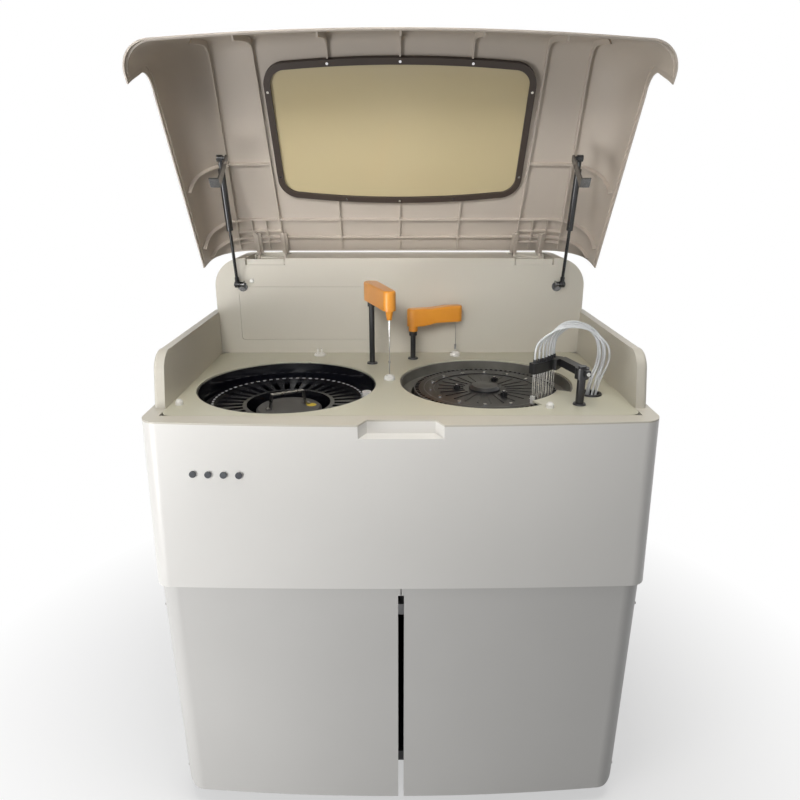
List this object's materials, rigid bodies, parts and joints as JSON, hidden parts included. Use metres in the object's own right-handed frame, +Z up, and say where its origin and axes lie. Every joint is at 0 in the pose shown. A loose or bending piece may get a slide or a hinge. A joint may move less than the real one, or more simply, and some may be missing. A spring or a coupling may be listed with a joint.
{
  "type": "chemistry analyzer",
  "caption": "Floor-standing clinical chemistry analyzer: lid held up by gas struts, sample and reaction carousels, probe, stirrer and wash station over a cabinet with doors.",
  "frame": {"origin": "on the floor, below the middle of the cabinet", "axes": "+Z up, +Y from the front to the back, +X to the right of someone facing the front"},
  "size_m": [0.916, 0.6546, 1.5052],
  "materials": {
    "shell_cream": "satin",
    "deck_cream": "satin",
    "panel_white": "satin",
    "door_grey": "satin",
    "frame_grey": "matte",
    "tub_black": "gloss",
    "rotor_black": "matte",
    "cover_grey": "matte",
    "tub_metal": "brushed",
    "orange_cover": "satin",
    "post_black": "satin",
    "chrome": "polished",
    "steel": "brushed",
    "aluminium": "satin",
    "gasket_brown": "matte",
    "window_tan": "clear",
    "rubber_black": "matte",
    "white_plastic": "matte",
    "tube_clear": "satin",
    "lamp_green": "gloss"
  },
  "bodies": {
    "cabinet": {"base_frame": "frame_grey", "levelling_feet": "rubber_black", "equipment_shelf": "steel", "side_panels": "door_grey", "rear_panel": "door_grey", "mains_inlet": "rubber_black", "upper_front_panel": "panel_white", "indicator_lights": "lamp_green", "deck_plate": "deck_cream", "deck_surround": "shell_cream", "wall_access_panel": "shell_cream", "wash_wells": "white_plastic", "clip_well": "white_plastic", "post_bushes": "post_black", "tube_grommet": "rubber_black", "lid_bumpers": "white_plastic", "wall_strut_brackets": "chrome", "hinge_brackets": "shell_cream", "reagent_tub": "tub_black", "reaction_tub": "tub_metal", "drive_motors": "post_black", "lift_frames": "aluminium", "shelf_modules": "steel", "fluid_bottles": "white_plastic"},
    "lid": {"lid_shell": "shell_cream", "window_pane": "window_tan", "window_gasket": "gasket_brown", "gasket_screws": "chrome", "hinge_arms": "steel", "lid_strut_brackets": "chrome"},
    "left_strut_lower": {"left_strut_rod": "post_black"},
    "left_strut_upper": {"left_strut_cylinder": "post_black"},
    "right_strut_lower": {"right_strut_rod": "post_black"},
    "right_strut_upper": {"right_strut_cylinder": "post_black"},
    "left_door_leaf": {"left_door": "door_grey"},
    "right_door_leaf": {"right_door": "door_grey"},
    "probe_lift": {"probe_carriage": "aluminium"},
    "probe_arm": {"probe_post": "post_black", "probe_arm_cover": "orange_cover", "probe_needle": "chrome"},
    "stirrer_lift": {"stirrer_carriage": "aluminium"},
    "stirrer_arm": {"stirrer_post": "post_black", "stirrer_arm_cover": "orange_cover", "stirrer_needle": "chrome"},
    "wash_head": {"wash_post": "post_black", "wash_bracket": "post_black", "wash_manifold": "post_black", "wash_needles": "chrome", "wash_tubes": "tube_clear"},
    "reagent_carousel": {"reagent_rotor": "rotor_black", "reagent_cover": "cover_grey", "carousel_handle": "tub_black", "sample_cup": "white_plastic"},
    "reaction_carousel": {"reaction_rotor": "rotor_black", "cuvette_ring": "rotor_black", "ring_screws": "chrome", "reaction_hub_cap": "tub_black", "thumb_screws": "tub_black"}
  },
  "joints": [
    {"name": "lid_hinge", "type": "hinge", "parent": "cabinet", "child": "lid", "pos_m": [0, 0.275, 1.062], "axis": [1, 0, 0], "range_deg": [0, 57.3]},
    {"name": "left_strut_swing", "type": "hinge", "parent": "cabinet", "child": "left_strut_lower", "pos_m": [-0.371, 0.163, 1.013], "axis": [1, 0, 0], "range_deg": [0, 70.78]},
    {"name": "left_strut_slide", "type": "slide", "parent": "left_strut_lower", "child": "left_strut_upper", "axis": [0, -0.2634, 0.9647], "range_m": [-0.1053, 0]},
    {"name": "right_strut_swing", "type": "hinge", "parent": "cabinet", "child": "right_strut_lower", "pos_m": [0.371, 0.163, 1.013], "axis": [1, 0, 0], "range_deg": [0, 70.78]},
    {"name": "right_strut_slide", "type": "slide", "parent": "right_strut_lower", "child": "right_strut_upper", "axis": [0, -0.2634, 0.9647], "range_m": [-0.1053, 0]},
    {"name": "left_door_hinge", "type": "hinge", "parent": "cabinet", "child": "left_door_leaf", "pos_m": [-0.4385, -0.269, 0.25], "axis": [0, 0, 1], "range_deg": [-95, 0]},
    {"name": "right_door_hinge", "type": "hinge", "parent": "cabinet", "child": "right_door_leaf", "pos_m": [0.4385, -0.269, 0.25], "axis": [0, 0, 1], "range_deg": [0, 95]},
    {"name": "probe_lift_slide", "type": "slide", "parent": "cabinet", "child": "probe_lift", "axis": [0, 0, 1], "range_m": [-0.055, 0]},
    {"name": "probe_swivel", "type": "hinge", "parent": "probe_lift", "child": "probe_arm", "pos_m": [-0.062, 0.075, 0.85], "axis": [0, 0, 1], "range_deg": [-20.96, 41.92]},
    {"name": "stirrer_lift_slide", "type": "slide", "parent": "cabinet", "child": "stirrer_lift", "axis": [0, 0, 1], "range_m": [-0.048, 0]},
    {"name": "stirrer_swivel", "type": "hinge", "parent": "stirrer_lift", "child": "stirrer_arm", "pos_m": [0.03, 0.116, 0.85], "axis": [0, 0, 1], "range_deg": [-46.45, 0]},
    {"name": "wash_lift_slide", "type": "slide", "parent": "cabinet", "child": "wash_head", "axis": [0, 0, 1], "range_m": [-0.02, 0]},
    {"name": "reagent_turn", "type": "hinge", "parent": "cabinet", "child": "reagent_carousel", "pos_m": [-0.226, -0.087, 0.75], "axis": [0, 0, 1], "continuous": true},
    {"name": "reaction_turn", "type": "hinge", "parent": "cabinet", "child": "reaction_carousel", "pos_m": [0.173, -0.065, 0.81], "axis": [0, 0, 1], "continuous": true}
  ],
  "couplings": [
    {"joint": "left_strut_swing", "follows": "lid_hinge", "ratio": 1.2351},
    {"joint": "left_strut_slide", "follows": "lid_hinge", "m_per_rad": -0.1051},
    {"joint": "right_strut_swing", "follows": "lid_hinge", "ratio": 1.2351},
    {"joint": "right_strut_slide", "follows": "lid_hinge", "m_per_rad": -0.1051}
  ]
}
